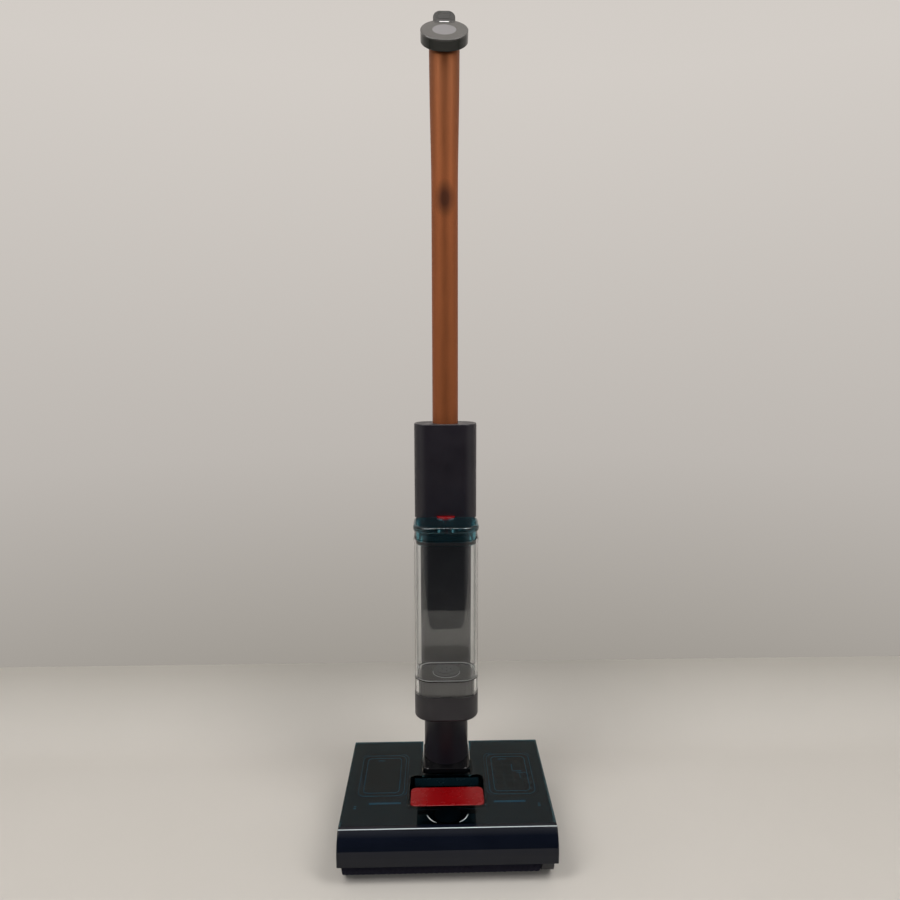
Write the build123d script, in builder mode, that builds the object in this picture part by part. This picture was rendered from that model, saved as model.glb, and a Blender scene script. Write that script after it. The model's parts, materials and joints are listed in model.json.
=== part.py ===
"""Upright cordless floor washer.

A floor head with a driven roller and a lift-out dirty-water tank, a reclining and swivelling neck, a clear
water tank in front of a spine, a battery housing, a tubular handle and a control head.

Millimetres. +Z is up and -Y is the front of the floor head. The origin lies on the floor under the middle of
the machine's bounding box.
"""

import os
from math import cos, pi, radians, sin

from build123d import *

# ------------------------------------------------------------------ driving dimensions
HEAD_WIDTH = 290.0
HEAD_FRONT = -119.0  # foremost point of the roller hood
HEAD_REAR = 114.6
HEAD_TOP = 70.0
TOP_EDGE_Y = -102.0  # where the flat top turns down into the hood
SEAM_Y = -95.0  # parting line between the roller hood and the dirty-water tank's cover
SEAM_GAP = 0.4
COVER_BOTTOM = 28.0
COVER_WALL = 2.5
COVER_SIDE_WALL = 2.2
HOOD_SIDE_WALL = 3.0

NECK_Y = 71.0  # swivel axis
NECK_RADIUS = 33.0
HINGE_Y = 91.0  # recline axis
HINGE_Z = 44.0
PIN_RADIUS = 5.0
RUN_GAP = 0.05  # radial running clearance
NOTCH_HALF = 36.0  # rear notch of the cover, which the neck reclines through
NOTCH_FRONT = 24.0

ROLLER_Y = -86.0
ROLLER_RADIUS = 29.0
ROLLER_LEFT = -139.5
ROLLER_RIGHT = 122.0
WHEEL_X = 118.0
WHEEL_Y = 94.5
WHEEL_RADIUS = 9.0

BODY_WIDTH = 92.0  # housing and collar
BODY_FRONT = 66.0  # flat plane behind the clear tank
HOUSING_REAR = 119.0
HOUSING_BOTTOM = 446.0
HOUSING_TOP = 586.0
SPINE_WIDTH = 80.0
SPINE_REAR = 106.0
SHELL_WALL = 2.5
COLLAR_BOTTOM = 167.0
COLLAR_TOP = 200.0
COLLAR_FRONT = -2.5
SHOULDER_BOTTOM = 147.0  # where the round neck starts to widen

TANK_WIDTH = 91.0
TANK_FRONT = -1.5
TANK_REAR = 65.5
TANK_WALL = 2.5
TANK_STEP = COLLAR_TOP + 1.0  # the skirt narrows below this height to enter the collar
TANK_FLOOR = 225.0
TANK_RIM = 430.0
LID_PLATE = 440.0
LID_TOP = 449.5

TUBE_Y = (BODY_FRONT + HOUSING_REAR) / 2
TUBE_RADIUS = 18.9
TUBE_WALL = 1.8
TUBE_FOOT = 552.0
GRIP_START = 915.0  # the tube widens slowly above this height
DISC_RADIUS = 33.0
DISC_HEIGHT = 15.8
DISC_TILT = 43.7
DISC_SEAT_Z = 1115.2  # where the tube's axis meets the control head's underside

HALF = HEAD_WIDTH / 2


def finish(piece, node):
    """Names a finished piece and writes it as a STEP file."""
    piece.part.label = node
    export_step(piece.part, f"parts/{node}.step")


def column_section(width, front, rear, front_radius, rear_radius):
    """Plan section: a rectangle with its own corner radii at the front and at the rear."""
    with BuildSketch(mode=Mode.PRIVATE) as section:
        with Locations((0, (front + rear) / 2)):
            Rectangle(width, rear - front)
        fillet(section.vertices().group_by(Axis.Y)[0], front_radius)
        fillet(section.vertices().group_by(Axis.Y)[-1], rear_radius)
    return section.sketch


def prism(section, bottom, top, mode=Mode.ADD):
    """Extrudes a plan section between two heights."""
    extrude(section.moved(Location((0, 0, bottom))), amount=top - bottom, mode=mode)


def block(x_range, y_range, z_range, mode=Mode.ADD):
    """A rectangular block between two corners."""
    ranges = (sorted(x_range), sorted(y_range), sorted(z_range))
    size = [high - low for low, high in ranges]
    middle = tuple((low + high) / 2 for low, high in ranges)
    with Locations(middle):
        Box(*size, mode=mode)


def rod_x(radius, x_range, y, z, mode=Mode.ADD):
    """A cylinder lying along X."""
    start, end = sorted(x_range)
    with BuildSketch(Plane.YZ.offset(start)) as disc:
        with Locations((y, z)):
            Circle(radius)
    extrude(disc.sketch, amount=end - start, mode=mode)


def rod_z(radius, x, y, z_range, mode=Mode.ADD):
    """A cylinder standing along Z."""
    with BuildSketch(Plane.XY.offset(z_range[0])) as disc:
        with Locations((x, y)):
            Circle(radius)
    extrude(disc.sketch, amount=z_range[1] - z_range[0], mode=mode)


def hose(points, bend, outer, bore):
    """A hose along straight runs joined by arcs, inside the current part."""
    with BuildLine() as path:
        FilletPolyline(*points, radius=bend)
    with BuildSketch(Plane(origin=path.line @ 0, z_dir=path.line % 0)) as section:
        Circle(outer)
        if bore:
            Circle(bore, mode=Mode.SUBTRACT)
    sweep(section.sketch, path=path.line)


def coil_spring(radius, wire, height, pitch, centre):
    """A compression spring standing along Z, inside the current part."""
    with BuildLine() as path:
        Helix(pitch, height, radius, center=centre)
    with BuildSketch(Plane(origin=path.line @ 0, z_dir=path.line % 0)) as section:
        Circle(wire)
    sweep(section.sketch, path=path.line)


os.makedirs("parts", exist_ok=True)

# ------------------------------------------------------------------ roller hood and dirty-water tank cover


def head_profile(inset, bottom):
    """Side profile of the head's covers, or of their inside when inset is the wall thickness."""
    top = HEAD_TOP - inset
    rear = HEAD_REAR - inset
    front = HEAD_FRONT + inset
    edge = TOP_EDGE_Y + inset * 0.3
    with BuildSketch(Plane.YZ, mode=Mode.PRIVATE) as profile:
        with BuildLine():
            rise = Line((rear, bottom), (rear, top))
            flat = Line(rise @ 1, (edge, top))
            nose = ThreePointArc(flat @ 1, (front + 3.6, top - 15.0), (front, top - 30.0))
            lip = Line(nose @ 1, (front + 0.6, bottom))
            Line(lip @ 1, rise @ 0)
        make_face()
    return profile.sketch


def head_envelope(side_wall):
    """The hollow shell that the hood and the tank cover are cut from."""
    with BuildPart(mode=Mode.PRIVATE) as envelope:
        extrude(head_profile(0, COVER_BOTTOM), amount=HALF, both=True)
        top_edges = envelope.edges().filter_by(Axis.X).group_by(Axis.Z)[-1].sort_by(Axis.Y)
        fillet(top_edges[0], 2.5)
        rear_top = envelope.edges().filter_by(Axis.X).group_by(Axis.Z)[-1].sort_by(Axis.Y)[-1]
        fillet(rear_top, 3.0)
        for side in envelope.faces().filter_by(Axis.X):
            fillet(side.edges().filter_by(lambda edge: edge.center().Z > COVER_BOTTOM + 1), 1.6)
        inside = head_profile(COVER_WALL, COVER_BOTTOM - 1)
        extrude(inside, amount=HALF - side_wall, both=True, mode=Mode.SUBTRACT)
    return envelope.part


with BuildPart() as roller_hood:
    add(head_envelope(HOOD_SIDE_WALL))
    split(bisect_by=Plane(origin=(0, SEAM_Y, 0), x_dir=(1, 0, 0), z_dir=(0, 1, 0)), keep=Keep.BOTTOM)
    # ledge under the tank cover's front edge
    block((-HALF + HOOD_SIDE_WALL, HALF - HOOD_SIDE_WALL), (SEAM_Y - 5, SEAM_Y - 1), (63.5, HEAD_TOP - 2))
finish(roller_hood, "roller_hood")

RECESS_HALF = 53.0
RECESS_FRONT = -55.0
RECESS_REAR = 18.0
RECESS_FLOOR = 52.0
RECESS_WALL = 2.0
FLAP_FRONT = -52.5
FLAP_REAR = -10.0
FLAP_THICK = 5.0
FLAP_PIN_Y = -48.5
FLAP_PIN_Z = 63.5
FLAP_PIN_RADIUS = 1.5
RECESS_DEPTH = RECESS_REAR - RECESS_FRONT
RECESS_MIDDLE = (RECESS_FRONT + RECESS_REAR) / 2

with BuildPart() as dirty_tank_cover:
    add(head_envelope(COVER_SIDE_WALL))
    seam = Plane(origin=(0, SEAM_Y + SEAM_GAP, 0), x_dir=(1, 0, 0), z_dir=(0, 1, 0))
    split(bisect_by=seam, keep=Keep.TOP)
    # tray of the finger recess
    with BuildSketch(Plane.XY.offset(RECESS_FLOOR - RECESS_WALL)):
        with Locations((0, RECESS_MIDDLE)):
            RectangleRounded(2 * (RECESS_HALF + RECESS_WALL), RECESS_DEPTH + 2 * RECESS_WALL, 10)
    extrude(amount=HEAD_TOP - 1 - RECESS_FLOOR + RECESS_WALL)
    with BuildSketch(Plane.XY.offset(RECESS_FLOOR)):
        with Locations((0, RECESS_MIDDLE)):
            RectangleRounded(2 * RECESS_HALF, RECESS_DEPTH, 8)
    extrude(amount=HEAD_TOP, mode=Mode.SUBTRACT)
    # rear notch with its own hanging walls
    notch_wall = 2.0
    block((-NOTCH_HALF - notch_wall, NOTCH_HALF + notch_wall), (NOTCH_FRONT - notch_wall, HEAD_REAR - 3),
          (62, HEAD_TOP - 1))
    block((-NOTCH_HALF, NOTCH_HALF), (NOTCH_FRONT, HEAD_REAR + 5), (0, HEAD_TOP + 10), mode=Mode.SUBTRACT)
    rod_x(FLAP_PIN_RADIUS, (-RECESS_HALF - RECESS_WALL, RECESS_HALF + RECESS_WALL), FLAP_PIN_Y, FLAP_PIN_Z,
          mode=Mode.SUBTRACT)
finish(dirty_tank_cover, "dirty_tank_cover")

# ------------------------------------------------------------------ dirty-water tub under the cover
TUB_WALL = 2.0
TUB_BOTTOM = 9.0
TUB_TOP = 62.0
WELL_INNER = 57.3
WELL_OUTER = 130.0
WELL_X = (WELL_INNER + WELL_OUTER) / 2
WELL_WIDTH = WELL_OUTER - WELL_INNER
WELL_DEPTH = 109.0
WELL_Y = 23.5
WELL_RADIUS = 12.0
TROUGH_FRONT = -47.0
TROUGH_REAR = -17.0
TROUGH_TOP = 46.0

with BuildPart() as dirty_tank_tub:
    with BuildSketch(Plane.XY.offset(TUB_BOTTOM)):
        with Locations((-WELL_X, WELL_Y), (WELL_X, WELL_Y)):
            RectangleRounded(WELL_WIDTH + 2 * TUB_WALL, WELL_DEPTH + 2 * TUB_WALL, WELL_RADIUS + TUB_WALL)
    extrude(amount=TUB_TOP - TUB_BOTTOM)
    block((-WELL_OUTER, WELL_OUTER), (TROUGH_FRONT, TROUGH_REAR), (TUB_BOTTOM, TROUGH_TOP))
    with BuildSketch(Plane.XY.offset(TUB_BOTTOM + TUB_WALL)):
        with Locations((-WELL_X, WELL_Y), (WELL_X, WELL_Y)):
            RectangleRounded(WELL_WIDTH, WELL_DEPTH, WELL_RADIUS)
    extrude(amount=TUB_TOP, mode=Mode.SUBTRACT)
    block((-WELL_OUTER + TUB_WALL, WELL_OUTER - TUB_WALL), (TROUGH_FRONT + TUB_WALL, TROUGH_REAR - TUB_WALL),
          (TUB_BOTTOM + TUB_WALL, TROUGH_TOP + 1), mode=Mode.SUBTRACT)
finish(dirty_tank_tub, "dirty_tank_tub")

with BuildPart() as tank_rim_seals:
    with BuildSketch(Plane.XY.offset(TUB_TOP)):
        for side in (-WELL_X, WELL_X):
            with Locations((side, WELL_Y)):
                RectangleRounded(WELL_WIDTH + 3, WELL_DEPTH + 3, WELL_RADIUS + 1.5)
                RectangleRounded(WELL_WIDTH, WELL_DEPTH, WELL_RADIUS, mode=Mode.SUBTRACT)
    extrude(amount=HEAD_TOP - COVER_WALL - TUB_TOP)
finish(tank_rim_seals, "tank_rim_seals")

STRAINER_Z = 54.0
with BuildPart() as debris_strainer:
    with BuildSketch(Plane.XY.offset(STRAINER_Z)):
        with Locations((WELL_X, WELL_Y)):
            RectangleRounded(WELL_WIDTH, WELL_DEPTH, WELL_RADIUS)
            with GridLocations(13.5, 12.8, 5, 8):
                RectangleRounded(11, 10, 2, mode=Mode.SUBTRACT)
    extrude(amount=2.5)
    with BuildSketch(Plane.XY.offset(STRAINER_Z - 14)):
        with Locations((WELL_X, WELL_Y)):
            RectangleRounded(WELL_WIDTH, WELL_DEPTH, WELL_RADIUS)
            RectangleRounded(WELL_WIDTH - 3, WELL_DEPTH - 3, WELL_RADIUS - 1.5, mode=Mode.SUBTRACT)
    extrude(amount=14)
finish(debris_strainer, "debris_strainer")

LATCH_BOTTOM = 60.5
with BuildPart() as cover_latch:
    with BuildSketch(Plane.XY.offset(LATCH_BOTTOM)):
        with Locations((0, -65.5)):
            Rectangle(82, 9)
        with Locations((0, -66)):
            Circle(28.5)
        with Locations((0, -46)):
            Rectangle(60, 30, mode=Mode.SUBTRACT)
    extrude(amount=HEAD_TOP - COVER_WALL - LATCH_BOTTOM - 0.3)
    rod_z(18, 0, -71, (LATCH_BOTTOM + 3, HEAD_TOP), mode=Mode.SUBTRACT)
finish(cover_latch, "cover_latch")

with BuildPart() as release_flap:
    with BuildSketch(Plane.XY.offset(HEAD_TOP - 1 - FLAP_THICK)):
        with Locations((0, (FLAP_FRONT + FLAP_REAR) / 2)):
            RectangleRounded(2 * RECESS_HALF - 3, FLAP_REAR - FLAP_FRONT, 8)
    extrude(amount=FLAP_THICK)
    fillet(release_flap.faces().sort_by(Axis.Z)[-1].edges(), 1.2)
    for side in (-1, 1):
        rod_x(3.4, (side * (RECESS_HALF - 4), side * (RECESS_HALF - 9)), FLAP_PIN_Y, FLAP_PIN_Z)
    # the lip that fingers pull on
    block((-44, 44), (FLAP_REAR - 6, FLAP_REAR - 2.5), (HEAD_TOP - 11, HEAD_TOP - FLAP_THICK))
    rod_x(FLAP_PIN_RADIUS + RUN_GAP, (-RECESS_HALF, RECESS_HALF), FLAP_PIN_Y, FLAP_PIN_Z, mode=Mode.SUBTRACT)
finish(release_flap, "release_flap")

with BuildPart() as flap_pins:
    for side in (-1, 1):
        rod_x(FLAP_PIN_RADIUS, (side * (RECESS_HALF - 9), side * (RECESS_HALF + RECESS_WALL)),
              FLAP_PIN_Y, FLAP_PIN_Z)
finish(flap_pins, "flap_pins")

# ------------------------------------------------------------------ chassis and wheels
SKIRT_TOP = COVER_BOTTOM - 0.4
SKIRT_HALF = HALF - 1.0
SKIRT_WALL = 3.0
BASE_BOTTOM = 4.0
BASE_TOP = 7.0
PAD_BOTTOM = 3.0
BAY_REAR = -50.0  # front wall of the pan, behind the roller
CHEEK_OUTER = HALF - HOOD_SIDE_WALL
CHEEK_WALL = 2.0
EAR_OUTER = 44.0
AXLE_RADIUS = 2.5
WELL_HALF = 6.0  # wheel well
WELL_SHELL = 3.0

with BuildPart() as chassis:
    pan_rear = HEAD_REAR - 0.5
    block((-SKIRT_HALF, SKIRT_HALF), (BAY_REAR, pan_rear), (BASE_BOTTOM, SKIRT_TOP))
    fillet(chassis.edges().filter_by(Axis.Z).group_by(Axis.Y)[-1], 4)
    block((-SKIRT_HALF + SKIRT_WALL, SKIRT_HALF - SKIRT_WALL), (BAY_REAR + 2.0, pan_rear - SKIRT_WALL),
          (BASE_TOP, SKIRT_TOP + 1), mode=Mode.SUBTRACT)
    # cheeks either side of the roller
    for side in (-1, 1):
        with BuildSketch(Plane.YZ.offset(side * CHEEK_OUTER)):
            with BuildLine():
                Polyline((-94, 8), (-46, 8), (-46, 58), (-96, 58), (-113, 40), (-113, 26), close=True)
            make_face()
        extrude(amount=-side * CHEEK_WALL)
    # hinge ears
    for side in (-1, 1):
        block((side * NOTCH_HALF, side * EAR_OUTER), (HINGE_Y - 16, HINGE_Y + 12), (BASE_TOP, HINGE_Z + 13))
    rod_x(PIN_RADIUS, (-EAR_OUTER, EAR_OUTER), HINGE_Y, HINGE_Z, mode=Mode.SUBTRACT)
    # room for the yoke's heel as it swings down
    block((-NOTCH_HALF, NOTCH_HALF), (HINGE_Y, HEAD_REAR + 5), (16, HINGE_Z + 20), mode=Mode.SUBTRACT)
    # wheel wells, open below
    for side in (-1, 1):
        block((side * (WHEEL_X - WELL_HALF - WELL_SHELL), side * (WHEEL_X + WELL_HALF + WELL_SHELL)),
              (WHEEL_Y - WHEEL_RADIUS - 2.5, pan_rear - 1), (BASE_BOTTOM, 21))
        block((side * (WHEEL_X - WELL_HALF), side * (WHEEL_X + WELL_HALF)),
              (WHEEL_Y - WHEEL_RADIUS - 1, WHEEL_Y + WHEEL_RADIUS + 1), (0, 19.5), mode=Mode.SUBTRACT)
        rod_x(AXLE_RADIUS, (side * (WHEEL_X - 8.5), side * (WHEEL_X + 8.5)), WHEEL_Y, WHEEL_RADIUS,
              mode=Mode.SUBTRACT)
    # raised pad that sits on a charging dock
    block((-40, 40), (0, 40), (PAD_BOTTOM, BASE_BOTTOM))
    fillet(chassis.edges().filter_by(Axis.Z).group_by(Axis.Z)[0], 4)
finish(chassis, "chassis")

with BuildPart() as wheel_axles:
    for side in (-1, 1):
        rod_x(AXLE_RADIUS, (side * (WHEEL_X - 8.5), side * (WHEEL_X + 8.5)), WHEEL_Y, WHEEL_RADIUS)
finish(wheel_axles, "wheel_axles")

for side, node in ((-1, "rear_wheel_left"), (1, "rear_wheel_right")):
    with BuildPart() as rear_wheel:
        rod_x(WHEEL_RADIUS, (side * WHEEL_X - 5, side * WHEEL_X + 5), WHEEL_Y, WHEEL_RADIUS)
        chamfer(rear_wheel.edges().filter_by(GeomType.CIRCLE), 0.8)
        rod_x(AXLE_RADIUS + RUN_GAP, (side * WHEEL_X - 6, side * WHEEL_X + 6), WHEEL_Y, WHEEL_RADIUS,
              mode=Mode.SUBTRACT)
    finish(rear_wheel, node)

with BuildPart() as hinge_pins:
    for side in (-1, 1):
        rod_x(PIN_RADIUS, (side * 25.0, side * EAR_OUTER), HINGE_Y, HINGE_Z)
finish(hinge_pins, "hinge_pins")

with BuildPart() as rear_squeegee:
    with BuildSketch(Plane.YZ.offset(-128)):
        with BuildLine():
            Polyline((-46, BASE_BOTTOM), (-40, BASE_BOTTOM), (-42.3, 0.4), (-43.7, 0.4), close=True)
        make_face()
    extrude(amount=256)
finish(rear_squeegee, "rear_squeegee")

with BuildPart() as charging_contacts:
    for x in (-12, 12):
        block((x - 5, x + 5), (46, 62), (BASE_BOTTOM - 0.6, BASE_BOTTOM))
finish(charging_contacts, "charging_contacts")

with BuildPart() as chassis_screws:
    for x, y in ((-135, -34), (135, -34), (-60, -34), (60, -34), (-92, 97), (92, 97)):
        with Locations(Location((x, y, BASE_BOTTOM), (180, 0, 0))):
            Cylinder(2.6, 1.4, align=(Align.CENTER, Align.CENTER, Align.MIN))
finish(chassis_screws, "chassis_screws")

# ------------------------------------------------------------------ roller and its drive
SLEEVE_INNER = 24.0
CORE_INNER = 22.0
MOTOR_RADIUS = 18.0
SHAFT_RADIUS = 4.0
CAP_LEFT = ROLLER_RIGHT + 1.5
CAP_RIGHT = CHEEK_OUTER - CHEEK_WALL

with BuildPart() as roller_end_cap:
    rod_x(27.0, (CAP_LEFT, CAP_RIGHT), ROLLER_Y, ROLLER_RADIUS)
    fillet(roller_end_cap.edges().group_by(Axis.X)[0], 1.5)
finish(roller_end_cap, "roller_end_cap")

with BuildPart() as roller_motor:
    rod_x(MOTOR_RADIUS, (20, CAP_LEFT), ROLLER_Y, ROLLER_RADIUS)
finish(roller_motor, "roller_motor")

with BuildPart() as gearbox:
    rod_x(MOTOR_RADIUS, (-8, 20), ROLLER_Y, ROLLER_RADIUS)
    rod_x(SHAFT_RADIUS, (-30, -8), ROLLER_Y, ROLLER_RADIUS)
finish(gearbox, "gearbox")

with BuildPart() as drive_hub:
    rod_x(CORE_INNER, (-34, -14), ROLLER_Y, ROLLER_RADIUS)
    rod_x(SHAFT_RADIUS + RUN_GAP, (-31, -10), ROLLER_Y, ROLLER_RADIUS, mode=Mode.SUBTRACT)
    with BuildSketch(Plane.YZ.offset(-34)):
        with Locations((ROLLER_Y, ROLLER_RADIUS)):
            with PolarLocations(13, 6):
                Circle(3.4)
    extrude(amount=20, mode=Mode.SUBTRACT)
finish(drive_hub, "drive_hub")

with BuildPart() as roller_bearing:
    rod_x(CORE_INNER, (106, 113), ROLLER_Y, ROLLER_RADIUS)
    rod_x(MOTOR_RADIUS + RUN_GAP, (105, 114), ROLLER_Y, ROLLER_RADIUS, mode=Mode.SUBTRACT)
finish(roller_bearing, "roller_bearing")

CORE_END_WALL = 4.0
with BuildPart() as roller_core:
    rod_x(SLEEVE_INNER, (ROLLER_LEFT + 2, ROLLER_RIGHT), ROLLER_Y, ROLLER_RADIUS)
    rod_x(CORE_INNER, (ROLLER_LEFT + 2 + CORE_END_WALL, ROLLER_RIGHT + 2), ROLLER_Y, ROLLER_RADIUS,
          mode=Mode.SUBTRACT)
    with BuildSketch(Plane.YZ.offset(ROLLER_LEFT)):
        with Locations((ROLLER_Y, ROLLER_RADIUS)):
            with PolarLocations(13, 4):
                Circle(4)
    extrude(amount=10, mode=Mode.SUBTRACT)
finish(roller_core, "roller_core")

with BuildPart() as roller_sleeve:
    rod_x(ROLLER_RADIUS, (ROLLER_LEFT, ROLLER_RIGHT), ROLLER_Y, ROLLER_RADIUS)
    chamfer(roller_sleeve.edges().filter_by(GeomType.CIRCLE), 1.5)
    rod_x(SLEEVE_INNER, (ROLLER_LEFT - 1, ROLLER_RIGHT + 1), ROLLER_Y, ROLLER_RADIUS, mode=Mode.SUBTRACT)
finish(roller_sleeve, "roller_sleeve")

BAR_Y = -54.5
BAR_Z = 43.0
with BuildPart() as hydration_bar:
    rod_x(3.5, (-CAP_RIGHT, CAP_RIGHT), BAR_Y, BAR_Z)
    rod_x(1.8, (-CAP_RIGHT + 4, CAP_RIGHT + 1), BAR_Y, BAR_Z, mode=Mode.SUBTRACT)
finish(hydration_bar, "hydration_bar")

with BuildPart() as scraper_blade:
    block((-130, 120), (-56, BAY_REAR), (24, 27))
    block((-130, 120), (-52.5, BAY_REAR), (12, 24))
finish(scraper_blade, "scraper_blade")

HOSE_X = 136.3
HOSE_Z = 31.0
with BuildPart() as head_hose:
    hose([(48, 96, HOSE_Z), (HOSE_X, 96, HOSE_Z), (HOSE_X, BAR_Y, HOSE_Z), (HOSE_X, BAR_Y, BAR_Z - 3.5)], 7,
         2.5, 1.5)
finish(head_hose, "head_hose")

# ------------------------------------------------------------------ yoke and neck
YOKE_HALF = 34.7
YOKE_FRONT = NOTCH_FRONT + 3.0
YOKE_REAR = NECK_Y + 33.0
YOKE_BOTTOM = 28.0
YOKE_TOP = 75.0
NECK_BOTTOM = 66.0
SPIGOT_RADIUS = 19.0
BUSH_RADIUS = 21.0
BUSH_BOTTOM = 34.0
RETAINER_BOTTOM = 30.0
SPIGOT_BORE = 14.0

with BuildPart() as yoke:
    with BuildSketch(Plane.XY.offset(YOKE_BOTTOM)):
        with Locations((0, (YOKE_FRONT + YOKE_REAR) / 2)):
            RectangleRounded(2 * YOKE_HALF, YOKE_REAR - YOKE_FRONT, 9)
    extrude(amount=YOKE_TOP - YOKE_BOTTOM)
    fillet(yoke.faces().sort_by(Axis.Z)[-1].edges(), 1.5)
    rod_z(NECK_RADIUS + 0.4, 0, NECK_Y, (NECK_BOTTOM - 0.4, YOKE_TOP + 1), mode=Mode.SUBTRACT)
    rod_z(BUSH_RADIUS, 0, NECK_Y, (YOKE_BOTTOM - 1, YOKE_TOP), mode=Mode.SUBTRACT)
    for side in (-1, 1):
        rod_x(PIN_RADIUS + RUN_GAP, (side * 24.5, side * (YOKE_HALF + 1)), HINGE_Y, HINGE_Z,
              mode=Mode.SUBTRACT)
finish(yoke, "yoke")

with BuildPart() as swivel_bush:
    rod_z(BUSH_RADIUS, 0, NECK_Y, (BUSH_BOTTOM, NECK_BOTTOM - 0.4))
    rod_z(SPIGOT_RADIUS + RUN_GAP, 0, NECK_Y, (YOKE_BOTTOM, YOKE_TOP), mode=Mode.SUBTRACT)
finish(swivel_bush, "swivel_bush")

NECK_BORE = NECK_RADIUS - 3.0
SHOULDER_STEPS = 6


def shoulder_section(share):
    """Plan section at a share of the way from the round neck to the collar, on an S-shaped curve."""
    swell = (1 - cos(pi * share)) / 2
    half = NECK_RADIUS + (BODY_WIDTH / 2 - NECK_RADIUS) * swell
    front = NECK_Y - NECK_RADIUS + (COLLAR_FRONT - NECK_Y + NECK_RADIUS) * swell
    rear = NECK_Y + NECK_RADIUS + (SPINE_REAR - NECK_Y - NECK_RADIUS) * swell
    corner = NECK_RADIUS - 0.1
    return column_section(2 * half, front, rear, corner + (27.0 - corner) * share,
                          corner + (22.0 - corner) * share)


def neck_shoulder():
    """The smooth widening from the round neck to the collar."""
    with BuildPart(mode=Mode.PRIVATE) as shoulder:
        for step in range(SHOULDER_STEPS + 1):
            height = SHOULDER_BOTTOM + (COLLAR_BOTTOM - SHOULDER_BOTTOM) * step / SHOULDER_STEPS
            with BuildSketch(Plane.XY.offset(height)):
                add(shoulder_section(step / SHOULDER_STEPS))
        loft()
    return shoulder.part


with BuildPart() as neck:
    rod_z(NECK_RADIUS, 0, NECK_Y, (NECK_BOTTOM, SHOULDER_BOTTOM))
    rod_z(SPIGOT_RADIUS, 0, NECK_Y, (BUSH_BOTTOM - 0.4, NECK_BOTTOM))
    rod_z(NECK_BORE, 0, NECK_Y, (NECK_BOTTOM + 3, SHOULDER_BOTTOM), mode=Mode.SUBTRACT)
    add(neck_shoulder())
    rod_z(NECK_BORE, 0, NECK_Y, (SHOULDER_BOTTOM, COLLAR_BOTTOM), mode=Mode.SUBTRACT)
    prism(column_section(70, 22, 98, 20, 18), COLLAR_BOTTOM - 7, COLLAR_BOTTOM, mode=Mode.SUBTRACT)
    rod_z(SPIGOT_BORE, 0, NECK_Y, (YOKE_BOTTOM, NECK_BOTTOM + 4), mode=Mode.SUBTRACT)
finish(neck, "neck")

with BuildPart() as swivel_retainer:
    rod_z(BUSH_RADIUS - 0.6, 0, NECK_Y, (RETAINER_BOTTOM, BUSH_BOTTOM - 0.4))
    rod_z(SPIGOT_BORE, 0, NECK_Y, (YOKE_BOTTOM, BUSH_BOTTOM), mode=Mode.SUBTRACT)
finish(swivel_retainer, "swivel_retainer")

# ------------------------------------------------------------------ collar, pump and water feed
COLLAR_FLOOR = 174.0
VALVE_Y = 34.0

with BuildPart() as collar:
    prism(shoulder_section(1.0), COLLAR_BOTTOM, COLLAR_TOP)
    # cup for the tank's skirt
    prism(column_section(TANK_WIDTH - 4.0, 0.5, 64.0, 24, 8), COLLAR_FLOOR, COLLAR_TOP + 1,
          mode=Mode.SUBTRACT)
    # open way from the spine down into the neck
    prism(column_section(66, 72, 101, 6, 14), COLLAR_BOTTOM - 1, COLLAR_TOP + 1, mode=Mode.SUBTRACT)
    rod_z(6.0, 0, VALVE_Y, (COLLAR_BOTTOM - 1, COLLAR_FLOOR + 1), mode=Mode.SUBTRACT)
finish(collar, "collar")

with BuildPart() as valve_socket:
    rod_z(16.0, 0, VALVE_Y, (COLLAR_FLOOR, COLLAR_FLOOR + 3))
    rod_z(16.0, 0, VALVE_Y, (COLLAR_FLOOR + 3, 190))
    rod_z(12.0, 0, VALVE_Y, (COLLAR_FLOOR + 3, 191), mode=Mode.SUBTRACT)
    rod_z(2.0, 0, VALVE_Y, (COLLAR_FLOOR + 3, 188))
    rod_z(6.0, 0, VALVE_Y, (COLLAR_BOTTOM + 1, COLLAR_FLOOR))
    with Locations((0, VALVE_Y, COLLAR_FLOOR)):
        with PolarLocations(4.0, 3):
            Cylinder(1.0, 20, mode=Mode.SUBTRACT)
finish(valve_socket, "valve_socket")

PUMP_TOP = 145.0
FEED_Z = 163.5  # the feed hose crosses the shoulder at this height
PUMP_BOTTOM = 98.0
with BuildPart() as water_pump:
    rod_z(14.0, 0, NECK_Y, (PUMP_BOTTOM, PUMP_TOP - 6))
    rod_z(10.0, 0, NECK_Y, (PUMP_TOP - 6, PUMP_TOP))
finish(water_pump, "water_pump")

with BuildPart() as pump_bracket:
    rod_z(NECK_BORE, 0, NECK_Y, (112, 116))
    rod_z(14.0, 0, NECK_Y, (111, 117), mode=Mode.SUBTRACT)
    with BuildSketch(Plane.XY.offset(111)):
        with Locations((0, NECK_Y)):
            with PolarLocations(22, 4, 45):
                Circle(4)
    extrude(amount=6, mode=Mode.SUBTRACT)
finish(pump_bracket, "pump_bracket")

with BuildPart() as feed_hose:
    route = [(0, VALVE_Y, COLLAR_BOTTOM + 1), (0, VALVE_Y, FEED_Z), (0, NECK_Y, FEED_Z), (0, NECK_Y, PUMP_TOP)]
    hose(route, 3.5, 2.5, 1.5)
finish(feed_hose, "feed_hose")

with BuildPart() as outlet_hose:
    rod_z(3.0, 0, NECK_Y, (RETAINER_BOTTOM + 2, PUMP_BOTTOM))
    rod_z(2.0, 0, NECK_Y, (RETAINER_BOTTOM, PUMP_BOTTOM - 3), mode=Mode.SUBTRACT)
finish(outlet_hose, "outlet_hose")

# ------------------------------------------------------------------ spine and battery housing


def half_shell(outer, inner, z_range, seam_y, keep):
    """One half of an upright tube of shell, split on a plane across Y."""
    prism(outer, *z_range)
    prism(inner, z_range[0] - 1, z_range[1] + 1, mode=Mode.SUBTRACT)
    split(bisect_by=Plane(origin=(0, seam_y, 0), x_dir=(1, 0, 0), z_dir=(0, 1, 0)), keep=keep)


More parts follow.
